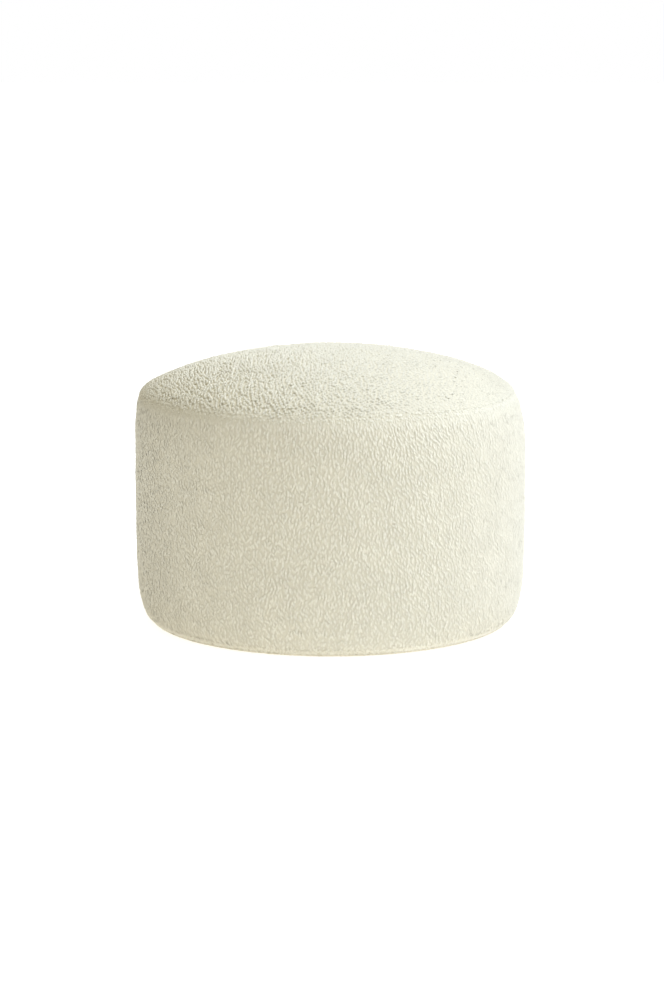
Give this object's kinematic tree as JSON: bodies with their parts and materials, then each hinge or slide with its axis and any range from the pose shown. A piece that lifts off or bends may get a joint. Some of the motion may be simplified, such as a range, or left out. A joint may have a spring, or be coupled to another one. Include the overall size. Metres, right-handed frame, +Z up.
{
  "type": "round pouf",
  "caption": "Round filled pouf in cream curly pile cloth: a crowned top sewn to an upright, slightly bellied side that rolls in to a flat base.",
  "frame": {"origin": "on the floor, under the middle of the pouf", "axes": "+Z up, through the crown; -Y is the front in the picture; the shoulder is a little fuller at -X"},
  "size_m": [0.57, 0.57, 0.4],
  "materials": {
    "pile_cloth": "cream short curly pile, matt with a soft sheen",
    "base_cloth": "the same cream pile pressed flat, matt"
  },
  "bodies": {
    "root": {"top_panel": "pile_cloth", "side_panel": "pile_cloth", "bottom_panel": "base_cloth"}
  },
  "joints": []
}
